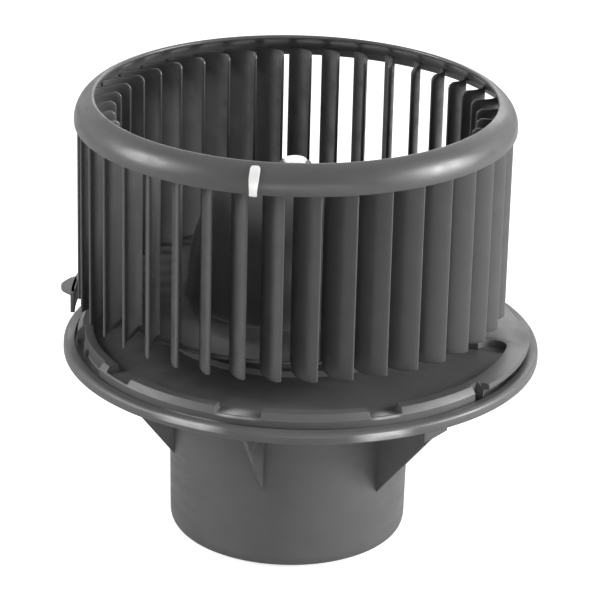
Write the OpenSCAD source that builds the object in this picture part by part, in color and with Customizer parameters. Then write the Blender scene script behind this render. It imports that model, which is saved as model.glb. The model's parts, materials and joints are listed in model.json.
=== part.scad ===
// Cabin evaporator fan: a forward-curved blower wheel on a brushed motor that stands in a
// moulded can with a round bayonet flange.
// Z is the motor axis, and the origin is the centre of the can's foot.

/* [Motor can] */
// Outer radius of the can at its foot
can_r = 42.2; // [38:0.1:46]
// Wall of the can at its foot
can_wall = 2.4; // [1.8:0.1:3]
// Draft of the can's outer wall in degrees
can_draft = 0.8; // [0:0.1:1.5]
// Rounding between the can's wall and its foot
can_corner = 4; // [2:0.5:6]
// Thickness of the can's floor
can_floor = 3; // [2:0.5:4]

/* [Flange] */
// Height of the flange deck above the foot
deck_z = 77; // [70:0.5:84]
// Radius over the outer band of the flange
flange_r = 83.6; // [80:0.1:88]
// Sideways shift of the flange from the motor axis
flange_shift_x = 3.5; // [0:0.5:5]
// Forward shift of the flange from the motor axis
flange_shift_y = -4.2; // [-5:0.1:0]
// Thickness of the flange plate
plate_t = 2.5; // [2:0.1:3]
// Depth of the trough in the deck
trough_depth = 2.3; // [1.5:0.1:3]
// Width of the collar left round the motor
collar_w = 6; // [4:0.5:8]
// Width of the raised ring's top, from the trough to the ring's outer face
ring_w = 5.6; // [4.5:0.1:7]
// Width of the slope round the raised ring's outer edge
ring_bevel = 1.8; // [0.5:0.1:2.5]
// Depth of the notches in the raised ring's outer lip
lip_drop = 1.7; // [1:0.1:2]
// Width of the gap between raised ring and outer band
groove_w = 1; // [0.6:0.1:1.5]
// Width of the outer band
band_w = 4; // [3:0.1:6]
// Height of the outer band
band_h = 3.7; // [3:0.1:5]
// Drop from the deck to the bottom of the outer band
flange_drop = 8; // [7.5:0.1:9]

/* [Ribs and locks] */
// Number of triangular ribs under the flange
rib_count = 6; // [4:1:8]
// Direction of the first rib in degrees
rib_angle = -102; // [-130:0.1:-90]
// Height of the rib tips above the foot, on the left side
rib_low = 30; // [20:0.5:45]
// Height of the rib tips above the foot, on the right side, where the flange reaches further
rib_low_right = 24.2; // [20:0.1:45]
// Half thickness of a rib at its tip
rib_tip = 0.5; // [0.4:0.1:2]
// Half thickness of a rib at the flange
rib_root = 0.8; // [0.5:0.1:5]
// Depth of the bayonet tabs under the band
tab_h = 3.2; // [1.5:0.1:4]
// Angle that a bayonet tab covers
tab_turn = 6.5; // [5:0.5:12]
// Reach of the wide lug beyond the raised ring
lug_reach = 1.8; // [1:0.1:3]
// Thickness of the wide lug
lug_t = 2; // [1.5:0.1:3]
// Gap between the blade tips and the lock arm
arm_gap = 1.3; // [1:0.1:2]
// Thickness of the lock arm
arm_t = 1.6; // [1.2:0.1:2.5]
// Height of the lock arm's top above the deck
arm_rise = 10.6; // [9:0.1:13]

/* [Wheel] */
// Radius over the blade tips
wheel_r = 75; // [70:0.1:76]
// Radius at the blades' inner edges
wheel_in_r = 62; // [58:0.1:65]
// Number of blades
blade_count = 39; // [30:1:43]
// Thickness of a blade
blade_t = 1; // [0.8:0.05:1.4]
// Radius of a blade's curve
blade_bow = 14; // [12:0.1:20]
// Angle that a tip leads its inner edge by
blade_lead = 6.8; // [5:0.1:8]
// Direction of one blade tip at rest
blade_start = -83; // [-90:0.1:-78]
// Gap between the deck and the blades' lower ends
wheel_gap = 8; // [6:0.1:10]
// Height of the wheel
wheel_h = 75.5; // [65:0.5:85]
// Rounding of the blades' upper inner corners
blade_round = 5; // [3:0.1:6]

/* [Wheel rim and back plate] */
// Reach of the rim beyond the blade tips
rim_over = 1.5; // [1:0.1:2.5]
// Radius of the rim's rounded shoulder
rim_bend = 8.9; // [7:0.1:9.3]
// Angle that the shoulder turns through, up to the inlet lip
rim_turn = 72; // [65:1:78]
// Drop of the rim's edge below the centre of its shoulder
rim_dip = 1.1; // [0.5:0.1:3]
// Wall of the rim
rim_t = 1.6; // [1.2:0.1:2]
// Reach of the back plate beyond the blades' inner edges
back_over = 2.5; // [1.5:0.1:4]
// Wall of the back plate and its bell
back_t = 1.7; // [1.4:0.1:2.2]
// Height of the back plate's underside above the blades' lower ends
back_rise = 1.9; // [1:0.1:3]
// Radius of the hub
hub_r = 5.6; // [5:0.1:7]
// Length of the hub
hub_len = 15.5; // [12:0.5:18]
// Gap between the bell and the motor
bell_gap = 2.2; // [1.8:0.1:4]

/* [Balance clip and shaft cap] */
// Direction of the clip on the rim
clip_angle = -99.9; // [-100.1:0.1:-97]
// Angle that the clip covers
clip_turn = 2.3; // [1.5:0.1:3]
// How far up the rim's shoulder the clip reaches, in degrees
clip_reach = 62; // [50:1:64]
// Thickness of the clip's steel
clip_t = 0.5; // [0.4:0.05:0.7]
// Radius of the cap on the shaft's end
cap_r = 4.1; // [3.8:0.1:5.4]
// Height of the cap above the hub
cap_h = 0.9; // [0.8:0.1:2.5]

/* [Motor] */
// Outer radius of the steel yoke
yoke_r = 33; // [31:0.1:34]
// Wall of the yoke
yoke_wall = 1.8; // [1.5:0.1:2.2]
// Length of the yoke
yoke_len = 86; // [84:0.5:88]
// Rounding of the yoke's shoulder
yoke_shoulder = 8; // [6:0.5:9]
// Radius of the bearing boss on the yoke
boss_r = 10; // [9.5:0.1:11]
// Height of the bearing boss on the yoke
boss_h = 7; // [6:0.5:8]
// Thickness of the lower damper under the motor
damper_t = 5; // [4:0.5:6]
// Reach of the lower damper under the motor
damper_lap = 7; // [5:0.5:9]
// Length of the upper damper
damper_len = 11; // [8:0.5:13]
// Height of the plastic end frame under the yoke
frame_h = 18; // [17:0.5:19]
// Radius of the motor shaft
shaft_r = 3; // [2.5:0.1:3.5]
// Radial clearance of the shaft in its bearings
shaft_fit = 0.02; // [0.01:0.005:0.05]
// Outer radius of the bearings
bearing_r = 7; // [6.5:0.1:7.5]
// Length of the bearings
bearing_len = 5.5; // [5:0.1:6]
// Radius of the armature core
core_r = 24; // [22:0.1:24.5]
// Length of the armature core
core_len = 40; // [36:1:42]
// Number of armature slots
slot_count = 12; // [10:1:14]
// Air gap between armature and magnets
air_gap = 1.2; // [0.8:0.1:1.6]
// Angle that each magnet spans
magnet_span = 130; // [110:1:140]
// Radius of the commutator
comm_r = 10.5; // [9.5:0.1:11]
// Length of the commutator
comm_len = 15; // [13:0.5:16]
// Number of commutator bars
bar_count = 12; // [10:1:14]
// Width of a carbon brush
brush_w = 6; // [5:0.1:7]
// Height of a carbon brush
brush_h = 7; // [6:0.1:8]
// Length of a carbon brush
brush_len = 9; // [8:0.1:10]

/* [Connector] */
// Direction of the connector in degrees
plug_angle = 108; // [100:1:118]
// Outer width of the connector
plug_w = 20; // [18:0.5:24]
// Outer height of the connector
plug_h = 11; // [10:0.5:12]
// Reach of the connector out of the can
plug_reach = 13; // [10:0.5:18]
// Wall of the connector
plug_wall = 1.6; // [1.2:0.1:2]

/* [Hidden] */
$fn = 96;
e = 0.01;

// Housing levels and radii
can_bore = can_r - can_wall;
floor_z = deck_z - trough_depth;
plate_z = floor_z - plate_t;
band_z = deck_z - flange_drop;
band_top = band_z + band_h;
spigot_r = flange_r - band_w - groove_w;
band_in = spigot_r + groove_w;
trough_r = spigot_r - ring_w;
groove_z = band_z + 1.6;
skirt_r = spigot_r - 2.2;
collar_r = can_bore + collar_w;
shift = [flange_shift_x, flange_shift_y, 0];
trough_from = -196;
trough_to = -15.3;
// Rounded nose at the trough's right end
nose_r = 4.9;
nose_turn = -12.2;
// Where the hollow's outer wall is measured
hollow_turn = 75;
// Lug over the groove, and lock arm with its post and its thumb lug
lug_from = -37.6;
lug_to = 6;
arm_from = 141;
post_to = 147;
thumb_from = 171;
arm_to = 184;

// Motor levels, from the foot up
frame_z = can_floor + damper_t;
yoke_z = frame_z + frame_h;
yoke_top = yoke_z + yoke_len;
boss_top = yoke_top + boss_h;
yoke_bore = yoke_r - yoke_wall;
magnet_in = core_r + air_gap;
magnet_z = yoke_z + 20;
core_z = yoke_z + 24;
magnet_len = core_len + 8;
comm_z = frame_z + 7;
brush_z = frame_z + 9;
low_bearing_z = frame_z - 1.5;
high_bearing_z = boss_top - bearing_len - 0.8;

// Wheel levels
blade_z = deck_z + wheel_gap;
wheel_top = blade_z + wheel_h;
rim_r = wheel_r + rim_over;
rim_at = [rim_r - rim_bend, wheel_top - rim_bend * sin(rim_turn)];
rim_z = rim_at[1] - rim_dip;
blade_top = rim_z + 3.1;
back_r = wheel_in_r + back_over;
back_z = blade_z + back_rise;
hub_z = boss_top + 2;
hub_top = hub_z + hub_len;
bell_r = yoke_r + bell_gap + back_t;
bell_top = hub_top - 4.5;
bell_power = 2.6;
shaft_z = low_bearing_z - 0.5;
shaft_top = hub_top + 0.4;
hub_fit = 0.01;

plastic = "#3d4041";
steel = "#9a9c9e";

// Outer radius of the drafted can at a height
function can_at(z) = can_r + (z - can_corner) * tan(can_draft);
// Distance from the motor axis to the flange's circle of radius r, in a direction
function reach(r, a) =
    let (c = flange_shift_x * cos(a) + flange_shift_y * sin(a),
         s = flange_shift_x * sin(a) - flange_shift_y * cos(a))
    c + sqrt(r * r - s * s);
// Points of an arc about c, from a0 to a1
function arc(c, r, a0, a1, n = 6) =
    [for (i = [0 : n]) c + r * [cos(a0 + (a1 - a0) * i / n), sin(a0 + (a1 - a0) * i / n)]];
// Points of a bell wall of foot radius a and height h, up to radius r_end
function bell(a, h, z, r_end, n = 9) =
    let (last = acos(pow(r_end / a, bell_power / 2)))
    [for (i = [1 : n])
        [a * pow(cos(last * i / n), 2 / bell_power),
         z + h * pow(sin(last * i / n), 2 / bell_power)]];
function reversed(list) = [for (i = [len(list) - 1 : -1 : 0]) list[i]];

// A ring between two radii over a span of angles
module ring_sector(r0, r1, z0, z1, a0, a1) {
    rotate([0, 0, a0])
        rotate_extrude(angle = a1 - a0)
            translate([r0, z0])
                square([r1 - r0, z1 - z0]);
}

module tube(r0, r1, z0, z1) {
    translate([0, 0, z0])
        difference() {
            cylinder(r = r1, h = z1 - z0);
            translate([0, 0, -1])
                cylinder(r = r0, h = z1 - z0 + 2);
        }
}

// Housing

module can_shell() {
    rotate_extrude()
        polygon(concat(
            [[0, 0]],
            arc([can_r - can_corner, can_corner], can_corner, -90, 0),
            [[can_at(floor_z), floor_z], [0, floor_z]]));
}

module flange_disc() {
    shoulder = [flange_r - band_h * 0.8, band_z];
    difference() {
        rotate_extrude()
            polygon(concat(
                [[0, plate_z], [skirt_r, plate_z], [skirt_r, band_z], [flange_r, band_z]],
                [for (i = [1 : 6])
                    shoulder + [band_h * 0.8 * cos(15 * i), band_h * sin(15 * i)]],
                [[band_in, band_top], [band_in, groove_z], [spigot_r, groove_z],
                 [spigot_r, deck_z - 1.2 * ring_bevel], [spigot_r - ring_bevel, deck_z],
                 [0, deck_z]]));
        // the hollow under the part of the deck that has no trough
        translate(-shift)
            ring_sector(collar_r + plate_t, reach(skirt_r, hollow_turn) - plate_t,
                plate_z - 1, deck_z - plate_t - 0.3, trough_to + 4, trough_from + 356);
    }
}

module trough() {
    intersection() {
        translate(shift + [0, 0, floor_z])
            cylinder(r = trough_r, h = trough_depth + 1);
        ring_sector(collar_r, flange_r, floor_z, deck_z + 1, trough_from, trough_to);
    }
    translate(shift)
        rotate([0, 0, nose_turn])
            translate([trough_r - nose_r, 0, floor_z])
                cylinder(r = nose_r, h = trough_depth + 1, $fn = 48);
}

// Notches in the raised ring, which leave a low outer lip: first and last angle
ring_notches = [[-111.3, -99.5], [-72.6, -64.2], [-147.6, -138]];
// Slots through the raised ring's outer face: first angle, last angle, depth
ring_slots = [[-41.2, -38.2, 2.7], [-176, -151, 2.6]];

module ring_cuts() {
    past = deck_z + 1;
    open_r = spigot_r + groove_w / 2;
    for (n = ring_notches) {
        ring_sector(trough_r - 1, spigot_r - 1, floor_z, past, n[0], n[1]);
        ring_sector(spigot_r - 1.5, open_r, deck_z - lip_drop, past, n[0], n[1]);
    }
    for (n = ring_slots)
        ring_sector(spigot_r - n[2], open_r, groove_z, past, n[0], n[1]);
}

// A rib whose free edge runs from the can to the corner of plate and skirt
module rib(a) {
    wall = reach((skirt_r + spigot_r) / 2, a);
    tip_z = cos(a) < 0 ? rib_low : rib_low_right;
    rotate([0, 0, a])
        intersection() {
            rotate([90, 0, 0])
                translate([0, 0, -rib_root - 1])
                    linear_extrude(2 * rib_root + 2)
                        polygon([[can_bore + 0.8, tip_z], [can_at(tip_z), tip_z],
                            [wall, plate_z], [wall, floor_z - 0.1],
                            [can_bore + 0.8, floor_z - 0.1]]);
            rotate([90, 0, 90])
                linear_extrude(flange_r + 10)
                    polygon([[-rib_tip, tip_z - 1], [rib_tip, tip_z - 1],
                        [rib_root, band_z], [rib_root, deck_z],
                        [-rib_root, deck_z], [-rib_root, band_z]]);
        }
}

// A springy arm round the back left of the wheel, with a thumb lug on its free end
module lock_arm() {
    r0 = wheel_r + arm_gap;
    r1 = r0 + arm_t;
    top = deck_z + arm_rise;
    foot_z = band_z + 0.3;
    foot_r = reach(band_in, post_to) + 0.8;
    ring_sector(r0, r1, deck_z + 3, top, arm_from, arm_to);
    // the post and its foot in the band
    ring_sector(r0, r1, foot_z, deck_z + 4, arm_from, post_to);
    ring_sector(min(r0, foot_r), max(r1, foot_r + arm_t), foot_z, foot_z + 1.2, arm_from, post_to);
    intersection() {
        ring_sector(r0, r0 + 7, top - 1.8, top, thumb_from, arm_to);
        rotate([0, 0, (thumb_from + arm_to) / 2])
            translate([r0 - 1.5, 0, top - 3])
                cylinder(r = 7.5, h = 4);
    }
}

module motor_housing() color(plastic) {
    difference() {
        union() {
            can_shell();
            translate(shift)
                flange_disc();
            for (i = [0 : rib_count - 1])
                rib(rib_angle + i * 360 / rib_count);
            translate(shift)
                for (a = [-60, 60, 180])
                    ring_sector(spigot_r, flange_r - 0.6, band_z - tab_h, band_z + 0.5, a, a + tab_turn);
            lock_arm();
            // the wide lug over the groove at the right
            translate(shift)
                ring_sector(spigot_r - ring_bevel - 0.2, spigot_r + lug_reach, deck_z - lug_t, deck_z,
                    lug_from, lug_to);
        }
        translate([0, 0, can_floor])
            cylinder(r = can_bore, h = deck_z);
        trough();
        translate(shift)
            ring_cuts();
        connector_block(plug_w, plug_h, can_bore - 5, can_r + 5);
    }
}

// Connector

// The connector's middle is on its brushes' level
plug_z = brush_z + brush_h / 2;

module connector_block(w, h, r0, r1) {
    rotate([0, 0, plug_angle])
        translate([r0, -w / 2, plug_z - h / 2])
            cube([r1 - r0, w, h]);
}

module connector_socket() color(plastic) {
    outer = can_r + plug_reach;
    difference() {
        union() {
            connector_block(plug_w - 0.2, plug_h - 0.2, yoke_r + 0.3, outer);
            connector_block(plug_w + 4, plug_h + 3, can_r + 0.7, can_r + 2.5);
        }
        connector_block(plug_w - 2 * plug_wall, plug_h - 2 * plug_wall, can_r + 1, outer + 1);
        for (side = [-1, 1])
            rotate([0, 0, plug_angle])
                translate([yoke_r, side * terminal_y - 1.6, plug_z - 0.5])
                    cube([can_r - yoke_r + 2, 3.2, 1]);
    }
}

terminal_y = plug_w / 2 - plug_wall - 2;

module terminal(side) {
    color("#b89a5a")
        rotate([0, 0, plug_angle])
            translate([yoke_r + 0.3, side * terminal_y - 1.4, plug_z - 0.4])
                cube([can_r + plug_reach - 3 - yoke_r, 2.8, 0.8]);
}

module terminal_left() { terminal(1); }
module terminal_right() { terminal(-1); }

// Motor, standing parts

module motor_yoke() color(steel) {
    s = yoke_shoulder;
    w = yoke_wall;
    rotate_extrude()
        polygon(concat(
            [[yoke_bore, yoke_z], [yoke_r, yoke_z]],
            arc([yoke_r - s, yoke_top - s], s, 0, 90),
            [[boss_r, yoke_top], [boss_r, boss_top], [bearing_r - 1.5, boss_top],
             [bearing_r - 1.5, boss_top - 0.8], [bearing_r + e, boss_top - 0.8],
             [bearing_r + e, yoke_top - w]],
            reversed(arc([yoke_r - s, yoke_top - s], s - w, 0, 90))));
}

module end_frame() color("#2a2b2c") {
    difference() {
        union() {
            tube(bearing_r + e, yoke_r, frame_z, frame_z + 2);
            tube(yoke_bore - 0.5, yoke_r, frame_z, yoke_z);
            tube(bearing_r + e, bearing_r + 2, low_bearing_z, low_bearing_z + bearing_len);
            // the floor that takes the shaft's thrust
            translate([0, 0, low_bearing_z - 2])
                cylinder(r = bearing_r + 2, h = 1.5);
            tube(bearing_r + e, bearing_r + 2, low_bearing_z - 1, low_bearing_z + 1);
            for (side = [-1, 1])
                brush_box(side);
        }
        for (side = [-1, 1])
            brush_block(side, comm_r, yoke_bore - 2, brush_w + 0.3, brush_h + 0.3);
    }
}

module brush_block(side, r0, r1, w, h) {
    rotate([0, 0, side * 90])
        translate([r0, -w / 2, brush_z + (brush_h - h) / 2])
            cube([r1 - r0, w, h]);
}

module brush_box(side) {
    rotate([0, 0, side * 90])
        translate([comm_r + 2, -brush_w / 2 - 1.3, frame_z + 1])
            cube([yoke_bore - comm_r - 2, brush_w + 2.6, brush_z + brush_h - frame_z + 0.5]);
}

module brush(side) {
    color("#1f1f20")
        brush_block(side, comm_r + 0.25, comm_r + brush_len, brush_w, brush_h);
}

module brush_left() { brush(1); }
module brush_right() { brush(-1); }

// A coil spring drawn as the tube that its turns fill
module brush_spring(side) {
    r0 = comm_r + brush_len;
    color(steel)
        rotate([0, 0, side * 90])
            translate([r0, 0, brush_z + brush_h / 2])
                rotate([0, 90, 0])
                    difference() {
                        cylinder(r = 2.4, h = yoke_bore - 2 - r0);
                        translate([0, 0, -1])
                            cylinder(r = 1.6, h = yoke_bore);
                    }
}

module brush_spring_left() { brush_spring(1); }
module brush_spring_right() { brush_spring(-1); }

// A ferrite rod with its winding, lying on the end frame's floor
module choke(side) {
    z = frame_z + 2 + 3;
    color("#a5653a")
        translate([side * (comm_r + 9), -7, z])
            rotate([-90, 0, 0])
                union() {
                    cylinder(r = 1.8, h = 14);
                    translate([0, 0, 1.5])
                        cylinder(r = 3, h = 11);
                }
}

module choke_left() { choke(-1); }
module choke_right() { choke(1); }

module magnet(a) {
    color("#48484a")
        ring_sector(magnet_in, yoke_bore - 0.02, magnet_z, magnet_z + magnet_len,
            a - magnet_span / 2, a + magnet_span / 2);
}

module magnet_front() { magnet(-90); }
module magnet_rear() { magnet(90); }

// A bent strip that pushes the two magnets apart
module magnet_spring(a) {
    half = (180 - magnet_span) / 2 - 0.3;
    r1 = yoke_bore - 0.02;
    far = 1.5 * yoke_r;
    color(steel)
        translate([0, 0, magnet_z + 2])
            rotate([0, 0, a])
                linear_extrude(magnet_len - 4)
                    difference() {
                        intersection() {
                            circle(r = r1);
                            polygon([[0, 0], far * [cos(half), -sin(half)],
                                far * [cos(half), sin(half)]]);
                        }
                        circle(r = magnet_in + 1);
                        intersection() {
                            circle(r = r1 - 0.8);
                            polygon([[0, 0], far * [cos(half - 2), -sin(half - 2)],
                                far * [cos(half - 2), sin(half - 2)]]);
                        }
                    }
}

module magnet_spring_left() { magnet_spring(180); }
module magnet_spring_right() { magnet_spring(0); }

module bearing(z) {
    color("#b08d57")
        tube(shaft_r + shaft_fit, bearing_r, z, z + bearing_len);
}

module upper_bearing() { bearing(high_bearing_z); }
module lower_bearing() { bearing(low_bearing_z); }

// A sprung washer with six fingers that holds a bearing in its seat
module bearing_clip(z, r) {
    color(steel)
        difference() {
            tube(shaft_r + 1.4, r, z, z + 0.6);
            for (i = [0 : 5])
                rotate([0, 0, i * 60])
                    translate([bearing_r - 1.2, -0.6, z - 1])
                        cube([r - bearing_r, 1.2, 3]);
        }
}

module upper_bearing_clip() { bearing_clip(high_bearing_z - 0.6, bearing_r - 0.02); }
module lower_bearing_clip() { bearing_clip(low_bearing_z + bearing_len, bearing_r + 2); }

module upper_damper() color("#1b1b1c") {
    top = floor_z - 1;
    tube(yoke_r, can_bore, top - damper_len, top);
}

module lower_damper() color("#1b1b1c") {
    tube(yoke_r, can_bore, can_floor, frame_z + 3);
    tube(yoke_r - damper_lap, yoke_r + 1, can_floor, frame_z);
}

// Wheel and everything that turns

module blade_section() {
    tip = [wheel_r, 0];
    root = wheel_in_r * [cos(blade_lead), -sin(blade_lead)];
    chord = tip - root;
    half = norm(chord) / 2;
    centre = (tip + root) / 2 + [-chord[1], chord[0]] / (2 * half)
        * sqrt(blade_bow * blade_bow - half * half);
    a0 = atan2(root[1] - centre[1], root[0] - centre[0]);
    a1 = atan2(tip[1] - centre[1], tip[0] - centre[0]);
    intersection() {
        translate(centre)
            difference() {
                circle(r = blade_bow + blade_t / 2, $fn = 36);
                circle(r = blade_bow - blade_t / 2, $fn = 36);
            }
        polygon(concat([centre], arc(centre, blade_bow * 1.4, a0, a1, 2)));
    }
}

// What the blades fill when the wheel turns
module blade_sweep() {
    r0 = wheel_in_r - 0.4;
    c = blade_round;
    inner_top = blade_top - 2.5;
    rotate_extrude()
        polygon(concat(
            [[r0, back_z + back_t / 2], [back_r - 0.8, back_z + back_t / 2],
             [back_r - 0.8, back_z], [back_r + 1.5, blade_z + 0.6],
             [back_r + 4, blade_z], [wheel_r, blade_z], [wheel_r, blade_top],
             [wheel_r - 2, blade_top]],
            arc([r0 + c, inner_top - c], c, 90, 180, 5)));
}

module blades() {
    intersection() {
        translate([0, 0, blade_z - 1])
            linear_extrude(blade_top - blade_z + 2)
                for (i = [0 : blade_count - 1])
                    rotate(blade_start + i * 360 / blade_count)
                        blade_section();
        blade_sweep();
    }
}

// A strip round the rim's shoulder between two distances from its outer face
module rim_section(in, out, turn_to, dip) {
    far = 3 * rim_bend;
    intersection() {
        translate(rim_at)
            difference() {
                circle(r = rim_bend + out, $fn = 48);
                circle(r = rim_bend + in, $fn = 48);
            }
        translate(rim_at)
            polygon([[0, 0], [0, -dip], [far, -dip], [far, far],
                far * [cos(turn_to), sin(turn_to)]]);
    }
}

module wheel_rim() {
    rotate_extrude($fn = 72)
        rim_section(-rim_t, 0, rim_turn, rim_dip);
}

module wheel_back() {
    back_top = back_z + back_t;
    rotate_extrude($fn = 72)
        polygon(concat(
            [[shaft_r + hub_fit, hub_z], [hub_r, hub_z]],
            reversed(bell(bell_r - back_t, bell_top - back_t - back_z, back_z, hub_r)),
            [[bell_r - back_t, back_z], [back_r, back_z], [back_r, back_top],
             [bell_r + 3, back_top], [bell_r + 1, back_top + 0.8]],
            bell(bell_r, bell_top - back_top, back_top, hub_r),
            [[hub_r, hub_top - 0.8], [hub_r - 0.8, hub_top],
             [shaft_r + hub_fit, hub_top]]));
}

module blower_wheel() color(plastic) {
    union() {
        wheel_back();
        wheel_rim();
        blades();
    }
}

// A folded spring clip round the rim's shoulder
module balance_clip() color("#e6e6e4") {
    gap = 0.06;
    hook = [rim_r - rim_t - gap - clip_t, rim_z - gap - clip_t];
    rotate([0, 0, clip_angle - clip_turn / 2])
        rotate_extrude(angle = clip_turn)
            union() {
                rim_section(gap, gap + clip_t, clip_reach, rim_dip + gap + clip_t);
                translate(hook)
                    square([rim_r + gap - hook[0] + clip_t / 2, clip_t]);
                translate(hook)
                    square([clip_t - 0.1, 2]);
            }
}

// A push-on cap that keeps the wheel on the shaft
module shaft_cap() color("#e6e6e4") {
    difference() {
        union() {
            translate([0, 0, hub_top + 0.02])
                cylinder(r = cap_r, h = cap_h - 0.4);
            translate([0, 0, hub_top + cap_h - 0.4])
                cylinder(r1 = cap_r, r2 = cap_r - 0.6, h = 0.4);
        }
        translate([0, 0, hub_top - 1])
            cylinder(r = shaft_r + hub_fit, h = shaft_top - hub_top + 1.02);
    }
}

module motor_shaft() color(steel) {
    translate([0, 0, shaft_z])
        cylinder(r = shaft_r, h = shaft_top - shaft_z - 0.4);
    translate([0, 0, shaft_top - 0.4])
        cylinder(r1 = shaft_r, r2 = shaft_r - 0.4, h = 0.4);
}

module slot_shape(grow) {
    neck = core_r - 3.2;
    root = shaft_r + 5;
    for (i = [0 : slot_count - 1])
        rotate([0, 0, i * 360 / slot_count])
            polygon([
                [root - grow, -0.9 - grow], [neck + grow, -3.1 - grow],
                [neck + grow, 3.1 + grow], [root - grow, 0.9 + grow]]);
}

module armature_core() color("#7d7f82") {
    translate([0, 0, core_z])
        linear_extrude(core_len)
            difference() {
                circle(r = core_r);
                circle(r = shaft_r + hub_fit);
                slot_shape(0);
                for (i = [0 : slot_count - 1])
                    rotate([0, 0, i * 360 / slot_count])
                        translate([core_r - 4, -0.8])
                            square([5, 1.6]);
            }
}

module armature_windings() color("#a5653a") {
    over = 8;
    r0 = shaft_r + 3.5;
    r1 = core_r - 3.6;
    for (z = [core_z - over, core_z + core_len + 0.3])
        rotate_extrude()
            polygon([[r0, z], [r1 - 2, z], [r1, z + 2], [r1, z + over - 2.3],
                [r1 - 2, z + over - 0.3], [r0, z + over - 0.3]]);
    translate([0, 0, core_z - 1])
        linear_extrude(core_len + 2)
            slot_shape(-0.3);
}

module commutator() color("#b87343") {
    difference() {
        tube(shaft_r + hub_fit, comm_r, comm_z, comm_z + comm_len);
        for (i = [0 : bar_count - 1])
            rotate([0, 0, i * 360 / bar_count])
                translate([comm_r - 1, -0.25, comm_z - 1])
                    cube([2, 0.5, comm_len + 2]);
    }
    tube(comm_r - 2, comm_r + 1.2, comm_z + comm_len - 2, comm_z + comm_len);
}

module thrust_washer() color(steel) {
    tube(shaft_r + hub_fit, shaft_r + 1.2, low_bearing_z + bearing_len + 0.6 + 0.3, comm_z);
}

motor_housing();
connector_socket();
terminal_left();
terminal_right();
motor_yoke();
end_frame();
magnet_front();
magnet_rear();
magnet_spring_left();
magnet_spring_right();
upper_bearing();
lower_bearing();
upper_bearing_clip();
lower_bearing_clip();
brush_left();
brush_right();
brush_spring_left();
brush_spring_right();
choke_left();
choke_right();
upper_damper();
lower_damper();
blower_wheel();
balance_clip();
shaft_cap();
motor_shaft();
armature_core();
armature_windings();
commutator();
thrust_washer();
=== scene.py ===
"""Finishes the cabin evaporator fan and sets it on a studio stage.

The moulded wheel and housing, the connector and the bright clips are made here. The inner motor
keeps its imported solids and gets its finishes.
"""

import json
import math

import bmesh
import bpy
from bpy.props import FloatProperty, FloatVectorProperty, IntProperty, PointerProperty
from mathutils import Matrix, Vector


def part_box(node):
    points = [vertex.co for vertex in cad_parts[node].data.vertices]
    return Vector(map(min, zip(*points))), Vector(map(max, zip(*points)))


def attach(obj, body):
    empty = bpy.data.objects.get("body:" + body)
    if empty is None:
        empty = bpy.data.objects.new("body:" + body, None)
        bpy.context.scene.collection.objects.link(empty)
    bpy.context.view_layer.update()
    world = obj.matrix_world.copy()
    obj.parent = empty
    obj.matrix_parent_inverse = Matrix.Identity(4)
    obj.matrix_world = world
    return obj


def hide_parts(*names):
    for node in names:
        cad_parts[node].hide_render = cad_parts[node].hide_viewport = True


bl_info = {
    "name": "Evaporator Fan Finish",
    "version": (1, 0, 0),
    "blender": (4, 5, 0),
    "location": "View3D > Sidebar > Evaporator Fan",
    "description": "Makes the wheel, housing, clips and studio of a cabin evaporator fan",
    "category": "Object",
}

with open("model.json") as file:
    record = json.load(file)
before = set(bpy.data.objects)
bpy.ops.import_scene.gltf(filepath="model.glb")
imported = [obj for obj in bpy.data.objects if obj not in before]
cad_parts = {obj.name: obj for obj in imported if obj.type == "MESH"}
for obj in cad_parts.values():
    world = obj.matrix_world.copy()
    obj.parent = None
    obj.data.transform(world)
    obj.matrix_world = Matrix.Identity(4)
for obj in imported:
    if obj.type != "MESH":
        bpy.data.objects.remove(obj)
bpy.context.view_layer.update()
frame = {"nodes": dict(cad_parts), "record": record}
MM = 0.001

WHEEL_LOW, WHEEL_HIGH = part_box("blower_wheel")
CAP_LOW, CAP_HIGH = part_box("shaft_cap")


def size(label, value, words):
    """A length property, in metres."""
    return FloatProperty(
        name=label, description=words, default=value, min=0.0, subtype="DISTANCE", unit="LENGTH"
    )


def turn(label, value, words):
    """An angle property, written in degrees."""
    return FloatProperty(
        name=label, description=words, default=math.radians(value), subtype="ANGLE", unit="ROTATION"
    )


def colour(label, value, words):
    """A colour property, in linear light."""
    return FloatVectorProperty(
        name=label, description=words, default=value, min=0.0, max=1.0, size=3, subtype="COLOR"
    )


class WheelSizes(bpy.types.PropertyGroup):
    """Sizes of the blower wheel"""
    tip_radius: size("Tip radius", 75.0 * MM, "Radius over the blade tips")
    inner_radius: size("Inner radius", 62.0 * MM, "Radius at the blades' inner edges")
    blade_count: IntProperty(name="Blades", description="Number of blades", default=39, min=3)
    blade_thickness: size("Blade thickness", 1.0 * MM, "Thickness of a blade")
    blade_bow: size("Blade curve", 14.0 * MM, "Radius of a blade's curve")
    blade_lead: turn("Lead", 6.8, "Angle that a tip leads its inner edge by")
    first_blade: turn("First blade", -83.0, "Direction of one blade tip at rest")
    rim_wall: size("Rim wall", 1.5 * MM, "Wall of the rim band")
    plate_radius: size("Plate radius", 64.5 * MM, "Radius of the back plate")
    plate_rise: size("Plate rise", 1.9 * MM, "Height of the back plate above the blades' ends")
    plate_wall: size("Plate wall", 1.7 * MM, "Wall of the back plate and its bell")
    bell_radius: size("Bell radius", 36.9 * MM, "Radius of the bell at the back plate")
    hub_radius: size("Hub radius", 5.6 * MM, "Radius of the hub")
    hub_top: size("Hub top", 136.5 * MM, "Height of the hub's end")


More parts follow.
